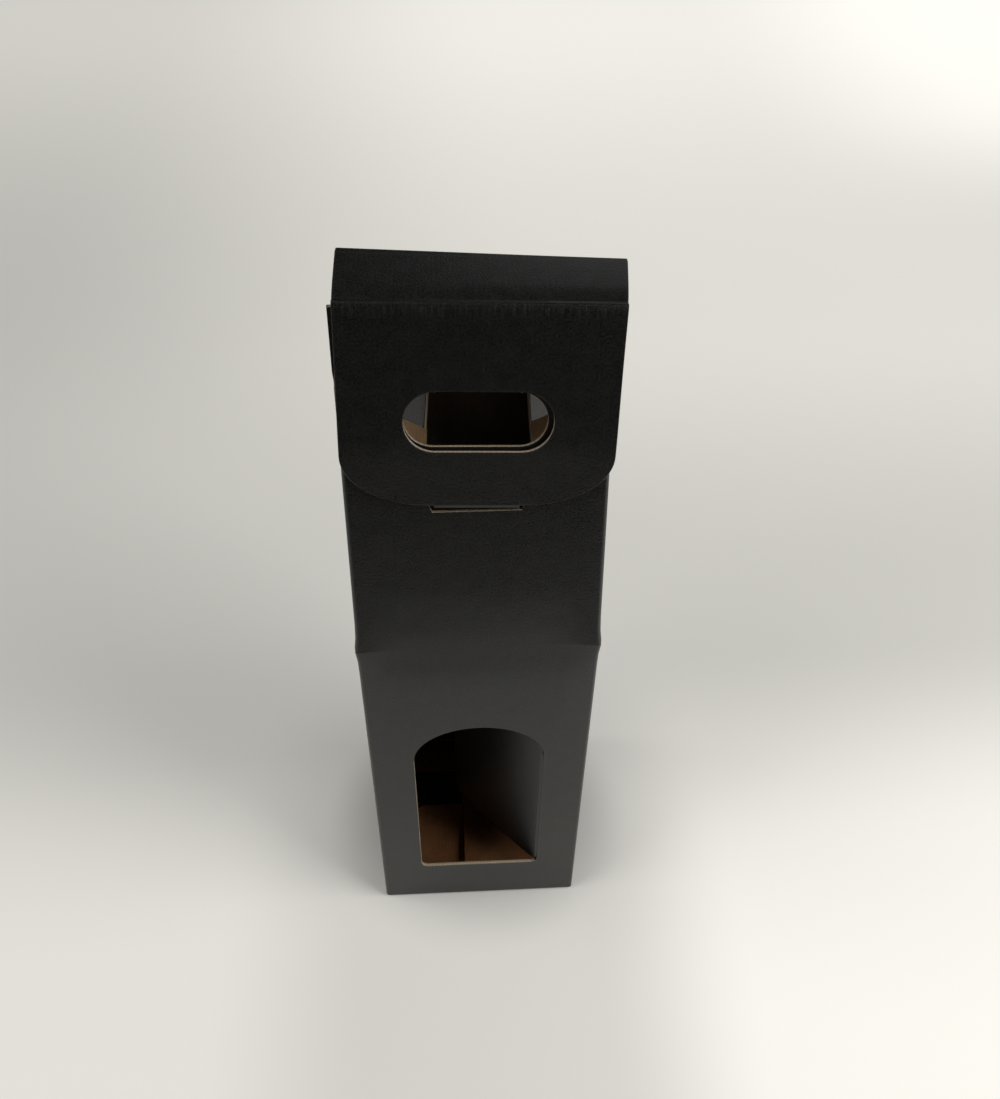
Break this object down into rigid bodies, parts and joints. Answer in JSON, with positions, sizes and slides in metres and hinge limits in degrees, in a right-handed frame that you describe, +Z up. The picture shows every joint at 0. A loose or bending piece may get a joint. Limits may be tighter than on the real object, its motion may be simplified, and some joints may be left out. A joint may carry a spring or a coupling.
{
  "type": "wine gift box",
  "caption": "Tall folded corrugated carton for a bottle, with sloping shoulders, a tuck-in lid with a hand hole, and a window whose flap swings in.",
  "frame": {"origin": "middle of the base, on the surface that the box stands on", "axes": "+Z up, the front wall with the window faces -Y, +X to the right seen from the front"},
  "size_m": [0.091, 0.09, 0.3141],
  "materials": {
    "black_board": "matt black coated liner",
    "kraft_board": "plain brown kraft liner"
  },
  "bodies": {
    "carton": {"front_wall": "black_board", "back_wall": "black_board", "left_wall": "black_board", "right_wall": "black_board", "front_shoulder": "black_board", "back_shoulder": "black_board", "left_gusset": "black_board", "right_gusset": "black_board", "left_front_web": "black_board", "right_front_web": "black_board", "left_back_web": "black_board", "right_back_web": "black_board", "base_left_flap": "black_board", "base_right_flap": "black_board", "base_front_flap": "kraft_board", "base_back_flap": "kraft_board", "glue_flap": "kraft_board"},
    "lid_top": {"lid_top": "black_board"},
    "lid_flap": {"lid_flap": "black_board"},
    "tuck_tab": {"tuck_tab": "black_board"},
    "window_flap": {"window_flap": "black_board"}
  },
  "joints": [
    {"name": "lid_top_crease", "type": "hinge", "parent": "carton", "child": "lid_top", "pos_m": [0, 0.01263, 0.31264], "axis": [-1, 0, 0], "range_deg": [0, 105]},
    {"name": "lid_flap_crease", "type": "hinge", "parent": "lid_top", "child": "lid_flap", "pos_m": [0, -0.01449, 0.31264], "axis": [-1, 0, 0], "range_deg": [0, 90]},
    {"name": "tuck_tab_crease", "type": "hinge", "parent": "lid_flap", "child": "tuck_tab", "pos_m": [0, -0.03092, 0.2446], "axis": [-1, 0, 0], "range_deg": [0, 45]},
    {"name": "window_flap_crease", "type": "hinge", "parent": "carton", "child": "window_flap", "pos_m": [0.027, -0.0435, 0.082], "axis": [0, 0, -1], "range_deg": [-45, 60]}
  ],
  "couplings": [
    {"joint": "tuck_tab_crease", "follows": "lid_flap_crease", "ratio": 0.5}
  ]
}
